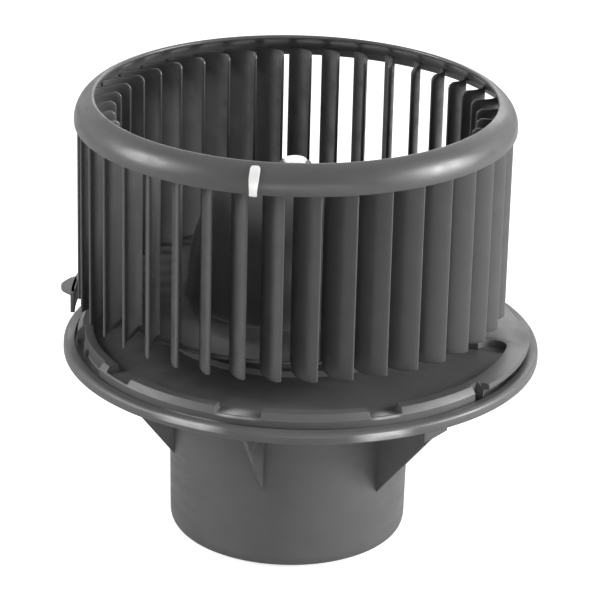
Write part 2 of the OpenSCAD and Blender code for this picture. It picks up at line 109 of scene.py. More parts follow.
class HousingSizes(bpy.types.PropertyGroup):
    """Sizes of the can and its flange"""
    can_radius: size("Can radius", 42.2 * MM, "Outer radius of the can at its foot")
    can_bore: size("Can bore", 39.8 * MM, "Inner radius of the can")
    can_corner: size("Can corner", 4.0 * MM, "Rounding between the can's wall and its foot")
    can_draft: turn("Can draft", 0.8, "Lean of the can's wall")
    can_floor: size("Can floor", 3.0 * MM, "Thickness of the can's floor")
    deck: size("Deck", 77.0 * MM, "Height of the flange's deck")
    band: size("Band", 69.0 * MM, "Height of the outer band's underside")
    flange_radius: size("Flange radius", 83.6 * MM, "Radius over the outer band")
    spigot_radius: size("Ring radius", 78.6 * MM, "Radius of the raised ring")
    ring_bevel: size("Ring slope", 1.8 * MM, "Width of the slope round the ring's outer edge")
    trough_radius: size("Trough radius", 73.0 * MM, "Outer radius of the trough")
    trough_depth: size("Trough depth", 2.3 * MM, "Depth of the trough below the deck")
    shift: FloatVectorProperty(
        name="Shift", description="Flange's centre from the motor axis", size=2,
        default=(3.5 * MM, -4.2 * MM), subtype="XYZ", unit="LENGTH"
    )
    edge: size("Edge radius", 0.3 * MM, "Rounding of the moulding's edges")


class ClipSizes(bpy.types.PropertyGroup):
    """Sizes of the balance clip"""
    direction: turn("Direction", -100.0, "Where the balance clip sits on the rim")
    width: size("Width", 3.4 * MM, "Width of the balance clip")
    waist: size("Waist", 2.6 * MM, "Width where the clip bends under the rim")
    thickness: size("Thickness", 0.5 * MM, "Thickness of the clip's spring steel")


class Finishes(bpy.types.PropertyGroup):
    """Colours of the materials"""
    plastic: colour("Plastic", (0.080, 0.0805, 0.080), "Dark grey plastic of the housing")
    wheel_plastic: colour("Wheel plastic", (0.066, 0.0665, 0.066), "Dark grey plastic of the wheel")
    frame_plastic: colour("Frame plastic", (0.022, 0.022, 0.023), "Black glass-filled plastic")
    steel: colour("Steel", (0.50, 0.51, 0.52), "Plated pressed steel")
    bright: colour("Bright steel", (0.93, 0.93, 0.92), "Bright plated spring steel")
    copper: colour("Copper", (0.58, 0.27, 0.13), "Enamelled copper")
    brass: colour("Brass", (0.62, 0.48, 0.24), "Stamped brass")
    bronze: colour("Bronze", (0.42, 0.27, 0.13), "Oil-filled sintered bronze")
    ferrite: colour("Ferrite", (0.045, 0.045, 0.048), "Ground ferrite")
    carbon: colour("Carbon", (0.028, 0.028, 0.029), "Pressed carbon")
    rubber: colour("Rubber", (0.018, 0.018, 0.019), "Soft black rubber")


def power(label, value, words):
    """A lamp's power, in watts."""
    return FloatProperty(name=label, description=words, default=value, min=0.0)


class StageSettings(bpy.types.PropertyGroup):
    """Camera and light"""
    camera_at: FloatVectorProperty(
        name="Camera", description="Place of the camera", default=(0.0, -0.98750, 0.48483),
        subtype="XYZ"
    )
    lens: FloatProperty(name="Lens", description="Focal length in millimetres", default=181.28)
    world: FloatProperty(name="World", description="Strength of light from all round", default=0.28)
    right_watts: power("Right lamp", 35.0, "Power of the right lamp")
    left_watts: power("Left lamp", 19.0, "Power of the left lamp")
    front_watts: power("Front lamp", 5.4, "Power of the low front lamp")
    back_watts: power("Back lamp", 6.0, "Power of the lamp behind the fan")


class FanSettings(bpy.types.PropertyGroup):
    """All the settings of the fan"""
    wheel: PointerProperty(type=WheelSizes)
    housing: PointerProperty(type=HousingSizes)
    clip: PointerProperty(type=ClipSizes)
    finish: PointerProperty(type=Finishes)
    stage: PointerProperty(type=StageSettings)


# Expressions on node sockets


class Value:
    """A socket in a node tree. Python's operators on it add Math nodes, or Vector Math nodes."""

    def __init__(self, tree, socket, vector=False):
        self.tree, self.socket, self.vector = tree, socket, vector

    def _combine(self, operation, first, second):
        """A Math node on two values or numbers, at least one of them a value."""
        both = [v for v in (first, second) if isinstance(v, Value)]
        vector = any(v.vector for v in both)
        node = self.tree.nodes.new("ShaderNodeVectorMath" if vector else "ShaderNodeMath")
        node.operation = operation
        for place, value in enumerate((first, second)):
            if isinstance(value, Value):
                self.tree.links.new(value.socket, node.inputs[place])
            else:
                node.inputs[place].default_value = (value,) * 3 if vector else value
        return Value(self.tree, node.outputs[0], vector)

    def __add__(self, other):
        return self._combine("ADD", self, other)

    def __radd__(self, other):
        return self._combine("ADD", other, self)

    def __sub__(self, other):
        return self._combine("SUBTRACT", self, other)

    def __rsub__(self, other):
        return self._combine("SUBTRACT", other, self)

    def __mul__(self, other):
        return self._combine("MULTIPLY", self, other)

    def clamped(self):
        """The value held between 0 and 1."""
        limited = self + 0.0
        limited.socket.node.use_clamp = True
        return limited

    def between(self, low, high):
        """0 below low, 1 above high, and a smooth step in between."""
        node = self.tree.nodes.new("ShaderNodeMapRange")
        node.interpolation_type = "SMOOTHSTEP"
        self.tree.links.new(self.socket, node.inputs["Value"])
        node.inputs["From Min"].default_value = low
        node.inputs["From Max"].default_value = high
        return Value(self.tree, node.outputs["Result"])


class Tree:
    """Makes the nodes of one shader or geometry tree."""

    def __init__(self, tree):
        self.tree = tree

    def node(self, kind, settings=None, output=0, vector=False, **inputs):
        """A node of a kind, with its settings and the values or links of its sockets."""
        made = self.tree.nodes.new(kind)
        for key, value in (settings or {}).items():
            setattr(made, key, value)
        for key, value in inputs.items():
            place = int(key[1:]) if key[0] == "_" else key.replace("_", " ")
            if isinstance(value, Value):
                self.tree.links.new(value.socket, made.inputs[place])
            else:
                made.inputs[place].default_value = value
        return Value(self.tree, made.outputs[output], vector) if made.outputs else made

    def link(self, value, socket):
        """Links a value to a socket."""
        self.tree.links.new(value.socket, socket)

    def ray(self, kind):
        """1 where the light path is of a kind, 0 elsewhere."""
        return self.node("ShaderNodeLightPath", output=f"Is {kind} Ray")


class Finish(Tree):
    """A material under construction, on Object coordinates in millimetres."""

    def __init__(self, name):
        self.material = bpy.data.materials.new(f"{name}_finish")
        self.material.use_nodes = True
        super().__init__(self.material.node_tree)
        self.shader = self.tree.nodes["Principled BSDF"]
        place = self.node("ShaderNodeTexCoord", output="Object", vector=True)
        self.place = place * 1000.0

    def noise(self, scale, detail=3.0, roughness=0.5, stretch=(1.0, 1.0, 1.0), **more):
        """Noise with features about scale millimetres across, from 0 to 1."""
        place = self.node("ShaderNodeMapping", vector=True, Vector=self.place, Scale=stretch)
        return self.node(
            "ShaderNodeTexNoise", output="Fac", Vector=place, Scale=1.0 / scale,
            Detail=detail, Roughness=roughness, **more
        )

    def cells(self, scale, feature="F1", **more):
        """Distance to the nearest of scattered points about scale millimetres apart."""
        return self.node(
            "ShaderNodeTexVoronoi", {"feature": feature}, Vector=self.place, Scale=1.0 / scale,
            **more
        )

    def blend(self, share, first, second):
        """first where share is 0, second where it is 1. Both are colours or sockets."""
        mix = self.tree.nodes.new("ShaderNodeMix")
        mix.data_type = "RGBA"
        self.link(share, mix.inputs["Factor"])
        for place, value in ((6, first), (7, second)):
            if isinstance(value, Value):
                self.link(value, mix.inputs[place])
            else:
                mix.inputs[place].default_value = (*value[:3], 1.0)
        return Value(self.tree, mix.outputs[2], True)

    def set(self, **values):
        """Sets or links sockets of the surface shader."""
        for key, value in values.items():
            socket = self.shader.inputs[key.replace("_", " ")]
            if isinstance(value, Value):
                self.link(value, socket)
            elif hasattr(value, "__len__"):
                socket.default_value = (*value[:3], 1.0)
            else:
                socket.default_value = value

    def relief(self, height, depth):
        """Bumps of a depth in millimetres, from a height of 0 to 1."""
        bump = self.node("ShaderNodeBump", Height=height, Distance=depth * MM, Strength=1.0)
        self.link(bump, self.shader.inputs["Normal"])


def times(rgb, factor):
    """A colour made lighter or darker, and held below white."""
    return tuple(min(1.0, c * factor) for c in rgb)


# The pale colour of the painted highlights, which stand in for lamp glints.
HIGHLIGHT_PAINT = (0.44, 0.44, 0.435)
# Painted highlights: pale patches that stand for lamp glints on the band and on two notch lips, in
# millimetres.
# Each is (middle, reach, lowest level, highest level).
PAINTED_HIGHLIGHTS = (
    ((-34.0, -79.0, 71.4), 16.0, 70.6, 72.5),
    ((31.0, -82.9, 70.6), 13.0, 69.4, 71.9),
    ((-17.3, -79.7, 75.1), 8.8, 74.4, 75.15),
    ((32.3, -77.0, 75.1), 6.2, 74.4, 75.15),
)


def painted_highlight_share(f, middle, reach, low, high):
    """Mask of one painted highlight: 1 near a point and between two levels, 0 away from them."""
    soft = 0.25
    level = f.node("ShaderNodeSeparateXYZ", output="Z", Vector=f.place)
    apart = f.node(
        "ShaderNodeVectorMath", {"operation": "DISTANCE"}, output="Value", _0=f.place, _1=middle
    )
    above = level.between(low - soft, low + soft)
    below = 1.0 - level.between(high - soft, high + soft)
    return above * below * (1.0 - apart.between(reach * 0.35, reach))


def moulded_plastic(name, rgb, roughness=0.42, grain=0.012, highlights=()):
    """Talc-filled plastic: fine spark grain, flow marks, scuffs, a little dust in the pores, and
    pale painted highlights at given places.
    """
    f = Finish(name)
    flow = f.noise(38.0, detail=4.0, roughness=0.55, stretch=(1.0, 1.0, 0.35))
    cloud = f.noise(9.0, detail=5.0)
    speck = f.noise(0.7, detail=2.0)
    scuff = f.noise(3.2, detail=6.0, roughness=0.7, stretch=(0.22, 0.22, 1.0)).between(0.62, 0.80)
    smear = f.noise(6.0, detail=4.0, roughness=0.6, stretch=(0.3, 0.3, 1.6)).between(0.35, 0.68)
    tone = (flow * 0.6 + cloud * 0.4).between(0.30, 0.72)
    base = f.blend(tone, times(rgb, 0.90), times(rgb, 1.10))
    base = f.blend(speck.between(0.62, 0.80) * 0.30, base, times(rgb, 1.7))
    base = f.blend(scuff * 0.10, base, times(rgb, 1.9))
    # painted highlights: pale patches, broken up by the smear noise, where lamps would glint
    for glint in highlights:
        base = f.blend(painted_highlight_share(f, *glint) * (smear * 0.6 + 0.4), base, HIGHLIGHT_PAINT)
    dulled = (roughness - 0.09) + smear * 0.16 + cloud * 0.05 + scuff * 0.06 - flow * 0.03
    f.set(Base_Color=base, Roughness=dulled, Specular_IOR_Level=0.5)
    pits = f.cells(0.42).between(0.0, 0.55)
    f.relief(pits * 0.6 + speck * 0.4, grain)
    return f.material


def pressed_steel(name, rgb, roughness=0.30, lines=0.006):
    """Plated steel drawn in a press: fine draw lines, cloudy plating and small dull spots."""
    f = Finish(name)
    draw = f.noise(0.5, detail=2.0, stretch=(1.0, 1.0, 0.04))
    cloud = f.noise(6.0, detail=5.0)
    spots = f.noise(1.4, detail=3.0).between(0.62, 0.74)
    base = f.blend(cloud.between(0.3, 0.7), times(rgb, 0.86), times(rgb, 1.08))
    base = f.blend(spots * 0.35, base, times(rgb, 0.55))
    f.set(Base_Color=base, Metallic=1.0 - spots * 0.25)
    f.set(Roughness=roughness - 0.06 + draw * 0.10 + spots * 0.15)
    f.relief(draw * 0.7 + cloud * 0.3, lines)
    return f.material


def bright_steel(name, rgb):
    """Bright plated spring steel with faint rolling lines and wear that dulls it."""
    f = Finish(name)
    lines = f.noise(0.3, detail=2.0, stretch=(0.05, 1.0, 1.0))
    wear = f.noise(1.1, detail=4.0).between(0.56, 0.74)
    base = f.blend(wear * 0.25, rgb, times(rgb, 0.80))
    f.set(Base_Color=base, Metallic=0.40 - wear * 0.2, Roughness=0.30 + lines * 0.10 + wear * 0.12)
    f.relief(lines, 0.004)
    return f.material


def copper_wire(name, rgb):
    """Close turns of enamelled wire, lying round the axis."""
    f = Finish(name)
    turns = f.node(
        "ShaderNodeTexWave", {"bands_direction": "Z"}, output="Fac",
        Vector=f.place, Scale=1.1, Distortion=0.35, Detail=1.0
    )
    shade = f.noise(2.4, detail=3.0)
    base = f.blend(turns, times(rgb, 0.45), rgb)
    base = f.blend(shade.between(0.45, 0.75) * 0.5, base, times(rgb, 1.35))
    f.set(Base_Color=base, Metallic=0.75 + shade * 0.2, Roughness=0.22 + shade * 0.16)
    f.relief(turns, 0.15)
    return f.material


def granular(name, rgb, roughness, scale=0.5, depth=0.03, metallic=0.0):
    """Pressed or sintered powder: a fine grain with pores."""
    f = Finish(name)
    grain = f.cells(scale).between(0.0, 0.7)
    cloud = f.noise(5.0, detail=4.0)
    pores = f.noise(scale * 0.8, detail=2.0).between(0.60, 0.72)
    base = f.blend(cloud.between(0.3, 0.7), times(rgb, 0.82), times(rgb, 1.15))
    base = f.blend(pores * 0.6, base, times(rgb, 0.45))
    f.set(Base_Color=base, Roughness=roughness - 0.06 + cloud * 0.12, Metallic=metallic)
    f.relief(grain * 0.7 + (1.0 - pores) * 0.3, depth)
    return f.material


def soft_rubber(name, rgb):
    """Dull rubber with a bloom and fine mould lines."""
    f = Finish(name)
    bloom = f.noise(7.0, detail=5.0).between(0.42, 0.72)
    fine = f.noise(0.35, detail=2.0)
    base = f.blend(bloom * 0.6, rgb, times(rgb, 2.2))
    f.set(Base_Color=base, Roughness=0.62 + bloom * 0.18)
    f.relief(fine, 0.02)
    return f.material


# Mesh making


def new_piece(name, vertices, faces, material, sharp=35.0):
    """A mesh object in metres from points in millimetres, shaded smooth up to an angle."""
    mesh = bpy.data.meshes.new(name)
    mesh.from_pydata([Vector(v) * MM for v in vertices], [], faces)
    return dressed(name, mesh, material, sharp)


def linked(name, mesh, sharp):
    """An object in the scene for a mesh, shaded smooth up to an angle."""
    mesh.shade_smooth()
    mesh.set_sharp_from_angle(angle=math.radians(sharp))
    piece = bpy.data.objects.new(name, mesh)
    bpy.context.scene.collection.objects.link(piece)
    return piece


def dressed(name, mesh, material, sharp=35.0):
    """Links a mesh as an object with one material, with its normals facing out."""
    work = bmesh.new()
    work.from_mesh(mesh)
    bmesh.ops.remove_doubles(work, verts=work.verts, dist=1e-7)
    bmesh.ops.recalc_face_normals(work, faces=work.faces)
    work.to_mesh(mesh)
    work.free()
    mesh.materials.clear()
    mesh.materials.append(material)
    return linked(name, mesh, sharp)


def joined(name, pieces, sharp=35.0):
    """One object from several, which keep their materials."""
    target = bmesh.new()
    materials = []
    for piece in pieces:
        mesh = piece.data
        offset = len(target.faces)
        target.from_mesh(mesh)
        target.faces.ensure_lookup_table()
        for face in target.faces[offset:]:
            material = mesh.materials[face.material_index]
            if material not in materials:
                materials.append(material)
            face.material_index = materials.index(material)
    mesh = bpy.data.meshes.new(name)
    target.to_mesh(mesh)
    target.free()
    for piece in pieces:
        bpy.data.objects.remove(piece)
    for material in materials:
        mesh.materials.append(material)
    return linked(name, mesh, sharp)


def tube_faces(rows, ring, shut=True):
    """Faces between rows of ring points each, and over the two ends where they are shut."""
    faces = []
    for i in range(rows - 1):
        for k in range(ring):
            m = (k + 1) % ring
            faces.append((i * ring + k, i * ring + m, (i + 1) * ring + m, (i + 1) * ring + k))
    if shut:
        faces.append(tuple(range(ring)))
        faces.append(tuple((rows - 1) * ring + k for k in reversed(range(ring))))
    return faces


def arc(centre, radius, first, last, steps):
    """Points of an arc in the plane, angles in degrees."""
    angles = [math.radians(first + (last - first) * i / steps) for i in range(steps + 1)]
    return [(centre[0] + radius * math.cos(a), centre[1] + radius * math.sin(a)) for a in angles]


def lathe(name, profile, material, segments=192, sharp=35.0):
    """Turns a closed outline of (radius, height) in millimetres round the motor axis."""
    vertices, faces, rings = [], [], []
    for radius, height in profile:
        if radius < 1e-6:
            rings.append([len(vertices)] * segments)
            vertices.append((0.0, 0.0, height))
            continue
        rings.append([len(vertices) + i for i in range(segments)])
        for i in range(segments):
            angle = 2.0 * math.pi * i / segments
            vertices.append((radius * math.cos(angle), radius * math.sin(angle), height))
    for one, two in zip(rings, rings[1:] + rings[:1]):
        for i in range(segments):
            j = (i + 1) % segments
            corners = []
            for index in (one[i], one[j], two[j], two[i]):
                if index not in corners:
                    corners.append(index)
            if len(corners) > 2:
                faces.append(corners)
    return new_piece(name, vertices, faces, material, sharp)


LARGE_RADIUS, LARGE_STEPS = 2.8, 9


def rounded(corners, least=3):
    """An outline through corners (x, y, weight, radius), each cut by an arc where there is room.

    An arc has at least this many steps, and more where its radius is large.
    """
    points = []
    count = len(corners)
    for i, (x, y, weight, radius) in enumerate(corners):
        steps = LARGE_STEPS if radius > LARGE_RADIUS else least
        here = Vector((x, y))
        before = Vector(corners[i - 1][:2]) - here
        after = Vector(corners[(i + 1) % count][:2]) - here
        if radius <= 0.0 or before.length < 1e-6 or after.length < 1e-6:
            points += [(x, y, weight)] * (steps + 1)
            continue
        reach = min(radius, 0.45 * before.length, 0.45 * after.length)
        first = here + before.normalized() * reach
        last = here + after.normalized() * reach
        for k in range(steps + 1):
            t = k / steps
            spot = first * (1 - t) ** 2 + here * (2 * t * (1 - t)) + last * t * t
            points.append((spot.x, spot.y, weight))
    return points


def sector_solid(
    name, radii, heights, angles, edge, material, steps=24, at=(0.0, 0.0), rise=0.0
):
    """A curved bar with rounded edges: a rectangle of radii and heights, swept over angles.

    Its underside rises by rise from the first angle to the last.
    """
    (r0, r1), (z0, z1), (a0, a1) = radii, heights, angles
    turns = [a0 + (a1 - a0) * i / steps for i in range(steps + 1)]
    inset = math.degrees(edge / r1)
    ends = [(a0, edge), (a0 + inset * 0.3, edge * 0.3), (a0 + inset, 0.0)]
    stops = ends + [(a, 0.0) for a in turns[1:-1]]
    stops += [(a1 - inset, 0.0), (a1 - inset * 0.3, edge * 0.3), (a1, edge)]
    vertices = []
    for angle, pull in stops:
        under = z0 + pull + rise * (angle - a0) / (a1 - a0)
        corners = [
            (r0 + pull, under, 0.0, edge), (r1 - pull, under, 0.0, edge),
            (r1 - pull, z1 - pull, 0.0, edge), (r0 + pull, z1 - pull, 0.0, edge),
        ]
        c, s = math.cos(math.radians(angle)), math.sin(math.radians(angle))
        for r, z, _ in rounded(corners):
            vertices.append((at[0] + r * c, at[1] + r * s, z))
    faces = tube_faces(len(stops), len(vertices) // len(stops))
    return new_piece(name, vertices, faces, material, 40.0)


def stands_for(piece, slot, body, *nodes):
    """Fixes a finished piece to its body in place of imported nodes."""
    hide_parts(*nodes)
    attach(piece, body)


# Wheel


def blade_outline(sizes):
    """Stations along a blade's curve: (place in the plane, direction across it, half thickness)."""
    tip = Vector((sizes.tip_radius, 0.0)) / MM
    inner = sizes.inner_radius / MM
    root = inner * Vector((math.cos(sizes.blade_lead), -math.sin(sizes.blade_lead)))
    chord = tip - root
    half = chord.length / 2.0
    bow = sizes.blade_bow / MM
    across = Vector((-chord.y, chord.x)) / chord.length
    centre = (tip + root) / 2.0 + across * math.sqrt(bow * bow - half * half)
    start = math.atan2(root.y - centre.y, root.x - centre.x)
    end = math.atan2(tip.y - centre.y, tip.x - centre.x)
    length = bow * (end - start)
    edge = sizes.blade_thickness / MM / 2.0
    nose = [edge * (1.0 - math.cos(math.radians(a))) for a in (0, 30, 60, 90)]
    middle = [edge + (length - 2.0 * edge) * i / 12 for i in range(1, 12)]
    places = nose + middle + [length - d for d in reversed(nose)]
    stations = []
    for place in places:
        angle = start + place / bow
        out = Vector((math.cos(angle), math.sin(angle)))
        near = min(place, length - place, edge)
        half_thickness = math.sqrt(max(0.0, edge**2 - (edge - near) ** 2))
        stations.append((centre + out * bow, out, half_thickness))
    return stations


def blade_ends(radius, low, high):
    """Heights of a blade's lower and upper ends at a distance from the axis."""
    # below: inside the plate's edge in the plate's wall, then down in a sweep to the blades' foot
    plate_edge, sweep, lift, in_wall = 63.7, 4.8, 1.9, 0.85
    if radius < plate_edge:
        bottom = low + lift + in_wall
    else:
        short = max(0.0, plate_edge + sweep - radius) / sweep
        bottom = low + lift * short * short
    corner_at, corner_width, corner_rise = 74.2, 0.8, 0.7
    bottom += corner_rise * max(0.0, (radius - corner_at) / corner_width) ** 2
    # above: a shoulder at the inner edge, then a slope that ends in the rim's wall
    inner, shoulder, drop, under_rim, fall = 62.0, 2.2, 2.4, 4.3, 0.155
    top = high - under_rim - fall * (radius - inner - shoulder)
    if radius < inner + shoulder:
        away = min(1.0, (inner + shoulder - radius) / shoulder)
        top = high - under_rim - drop * (1.0 - math.sqrt(1.0 - away * away))
    return bottom, top


def blade(sizes, material):
    """One blade: a thin bowed wall with rounded edges all round."""
    low, high = WHEEL_LOW.z / MM, WHEEL_HIGH.z / MM
    stations = blade_outline(sizes)
    loop = [(k, 1.0) for k in range(len(stations))]
    loop += [(k, -1.0) for k in range(len(stations) - 2, 0, -1)]
    edge = sizes.blade_thickness / MM / 2.0
    rises = [edge * (1.0 - math.cos(math.radians(a))) for a in (0, 30, 60, 90)]
    fulls = [math.sin(math.radians(a)) for a in (0, 30, 60, 90)]
    levels = [(rise, full, True) for rise, full in zip(rises, fulls)]
    levels += [(share, 1.0, None) for share in (0.05, 0.2, 0.4, 0.6, 0.8, 0.93)]
    levels += [(rise, full, False) for rise, full in reversed(list(zip(rises, fulls)))]
    vertices = []
    for amount, full, from_bottom in levels:
        for k, side in loop:
            spot, out, half = stations[k]
            bottom, top = blade_ends(spot.length, low, high)
            if from_bottom is None:
                height = bottom + (top - bottom) * amount
            else:
                height = bottom + amount if from_bottom else top - amount
            place = spot + out * half * side * full
            vertices.append((place.x, place.y, height))
    # the end rows lie flat on the blade's middle line, so each folds shut on itself
    faces = tube_faces(len(levels), len(loop), shut=False)
    return new_piece("one_blade", vertices, faces, material, 50.0)


def ring_tree():
    """A geometry tree that sets copies of a shape in a ring round the motor axis."""
    tree = bpy.data.node_groups.new("ring_of_blades", "GeometryNodeTree")
    for label, kind in (
        ("Shape", "NodeSocketGeometry"), ("Count", "NodeSocketInt"),
        ("First Angle", "NodeSocketFloat"), ("Material", "NodeSocketMaterial"),
    ):
        tree.interface.new_socket(label, in_out="INPUT", socket_type=kind)
    tree.interface.new_socket("Geometry", in_out="OUTPUT", socket_type="NodeSocketGeometry")
    t = Tree(tree)
    given = tree.nodes.new("NodeGroupInput")
    shape, count, first, material = [Value(tree, given.outputs[i]) for i in range(4)]
    step = t.node("ShaderNodeMath", {"operation": "DIVIDE"}, _0=2.0 * math.pi, _1=count)
    place = t.node("GeometryNodeInputIndex")
    euler = t.node("ShaderNodeCombineXYZ", Z=first + place * step, vector=True)
    points = t.node("GeometryNodePoints", Count=count)
    copies = t.node(
        "GeometryNodeInstanceOnPoints", Points=points, Instance=shape,
        Rotation=t.node("FunctionNodeEulerToRotation", Euler=euler)
    )
    solid = t.node("GeometryNodeRealizeInstances", Geometry=copies)
    finished = t.node("GeometryNodeSetMaterial", Geometry=solid, Material=material)
    leave = tree.nodes.new("NodeGroupOutput")
    tree.links.new(finished.socket, leave.inputs["Geometry"])
    return tree


def set_in_ring(shape, count, first, material):
    """The shape's copies in a ring, as one plain mesh object."""
    tree = ring_tree()
    modifier = shape.modifiers.new("ring", "NODES")
    modifier.node_group = tree
    sockets = {s.name: s.identifier for s in tree.interface.items_tree if s.in_out == "INPUT"}
    modifier[sockets["Count"]] = count
    modifier[sockets["First Angle"]] = first
    modifier[sockets["Material"]] = material
    bpy.context.view_layer.update()
    evaluated = shape.evaluated_get(bpy.context.evaluated_depsgraph_get())
    mesh = bpy.data.meshes.new_from_object(evaluated)
    shape.modifiers.remove(modifier)
    bpy.data.objects.remove(shape)
    ring = bpy.data.objects.new("blades", mesh)
    bpy.context.scene.collection.objects.link(ring)
    return ring


# The rim's round side in millimetres, from its lower edge to its lip
RIM_CENTRE = (67.5, WHEEL_HIGH.z / MM - 8.5)
RIM_OUTER = 8.9
# Directions from that centre, in degrees: the outer and the inner lower edge, and the lip
RIM_FOOT = (-6.0, 15.7)
RIM_LIP = 72.0


def rim(sizes, material):
    """The inlet rim: a quarter-round wall with a rolled lip and a plain lower edge."""
    centre, outer = RIM_CENTRE, RIM_OUTER
    wall = sizes.rim_wall / MM
    (low, inner_low), high = RIM_FOOT, RIM_LIP
    middle = outer - wall / 2.0
    turn_at = math.radians(high)
    lip = (centre[0] + middle * math.cos(turn_at), centre[1] + middle * math.sin(turn_at))
    profile = arc(centre, outer, low, high, 24)[1:]
    profile += arc(lip, wall / 2.0, high, high + 180.0, 8)[1:-1]
    profile += arc(centre, outer - wall, high, inner_low, 20)[:-1]
    foot = [arc(centre, r, a, a, 1)[0] for r, a in (
        (outer - wall, inner_low + 4.0), (outer - wall, inner_low), (outer, low), (outer, low + 4.0)
    )]
    edge = 0.35
    corners = [(*point, 0, radius) for point, radius in zip(foot, (0, edge, edge, 0))]
    profile += [(r, z) for r, z, _ in rounded(corners, 4)[5:-5]]
    return lathe("rim", profile, material, 256, 60.0)


def bell_wall(radius, height, foot, stop, steps=26, power=2.6):
    """Outline of the bell, a rounded cup, from its foot to a stop radius near the axis."""
    last = math.acos((stop / radius) ** (power / 2.0))
    points = []
    for i in range(1, steps + 1):
        angle = last * i / steps
        points.append((
            radius * math.cos(angle) ** (2.0 / power),
            foot + height * math.sin(angle) ** (2.0 / power),
        ))
    return points


def back_plate(sizes, material):
    """The back plate with its bell over the motor, and the hub on the shaft."""
    wall = sizes.plate_wall / MM
    under = WHEEL_LOW.z / MM + sizes.plate_rise / MM
    over = under + wall
    bell, hub = sizes.bell_radius / MM, sizes.hub_radius / MM
    hub_top = sizes.hub_top / MM
    bell_top = hub_top - 4.5
    bore, plate = 3.01, sizes.plate_radius / MM
    inside = bell_wall(bell - wall, bell_top - wall - under, under, hub)
    outside = bell_wall(bell, bell_top - over, over, hub + 0.6)
    profile = [(bore, hub_top - 15.5), (hub, hub_top - 15.5)]
    profile += list(reversed(inside)) + [(bell - wall, under), (plate - 0.4, under)]
    profile += [(plate, under + 0.4), (plate, over - 0.4), (plate - 0.4, over)]
    profile += arc((bell + 2.4, over + 2.0), 2.0, 270.0, 195.0, 8)
    profile += [p for p in outside if p[1] > over + 1.6]
    profile += [(hub, outside[-1][1] + 0.5), (hub, hub_top - 0.6)]
    profile += [(hub - 0.6, hub_top), (bore, hub_top)]
    return lathe("back_plate", profile, material, 192, 40.0)


def blower_wheel(settings, material):
    """The whole wheel: rim, back plate and the ring of blades."""
    sizes = settings.wheel
    blades = set_in_ring(blade(sizes, material), sizes.blade_count, sizes.first_blade, material)
    return joined("wheel", [rim(sizes, material), back_plate(sizes, material), blades], 50.0)


# Housing


def step_up(angle, place, width=0.35):
    """0 well before a place on the flange, 1 well after it, with a rounded step between."""
    t = min(1.0, max(0.0, (angle - place) / width + 0.5))
    return t * t * (3.0 - 2.0 * t)


def span(angle, first, last, width=0.35):
    """1 between two directions and 0 outside them, with rounded steps."""
    return step_up(angle, first, width) * (1.0 - step_up(angle, last, width))


TROUGH_SPAN = (-195.0, -12.2)
NOSE_AT, NOSE_RADIUS = 68.1, 4.9
LUG_SPAN = (-37.6, 6.0)
SLOT_SPAN = (-176.0, -151.0)
NICK_SPAN = (-41.2, -38.2)
NOTCH_SPANS = ((-147.6, -138.0), (-111.3, -99.5), (-72.6, -64.2))


def flange_angles():
    """Directions of the housing's stations, close together where a form begins or ends."""
    angles = [TROUGH_SPAN[0] - 1.0 + 1.5 * i for i in range(240)]
    ends = [*TROUGH_SPAN, *LUG_SPAN, *SLOT_SPAN, *NICK_SPAN]
    for pair in NOTCH_SPANS:
        ends += pair
    for place in ends:
        angles = [a for a in angles if abs((a - place + 180.0) % 360.0 - 180.0) > 0.4]
        angles += [place + d for d in (-0.3, -0.175, -0.09, 0.0, 0.09, 0.175, 0.3)]
    nose = math.degrees(NOSE_RADIUS / NOSE_AT)
    last = TROUGH_SPAN[1]
    angles += [last + nose * math.sin(math.radians(b)) for b in (20, 35, 50, 62, 72, 80, 85, 88)]
    return sorted(angles)


# Measures of the flange that its sizes don't name, in millimetres
FLOOR_WALL = 2.5  # wall under the trough
COLLAR_WIDTH = 6.0  # from the can's bore to the trough
LIP_DROP = 1.7  # of a notch's lip below the deck
SLOT_CUT, NICK_CUT = 2.6, 2.7  # depths of the slot and the nick in the ring's outside
GROOVE_RISE, BAND_RISE = 1.6, 3.7  # groove's floor and band's top above the band's underside
GROOVE_WIDTH = 1.0
SKIRT = 2.2  # from the ring's outside to the skirt below it
SLOPE_RATE = 1.2  # fall of the ring's slope for each millimetre out
LUG_UNDERCUT, LUG_REACH, LUG_WALL = 2.0, 1.8, 2.0


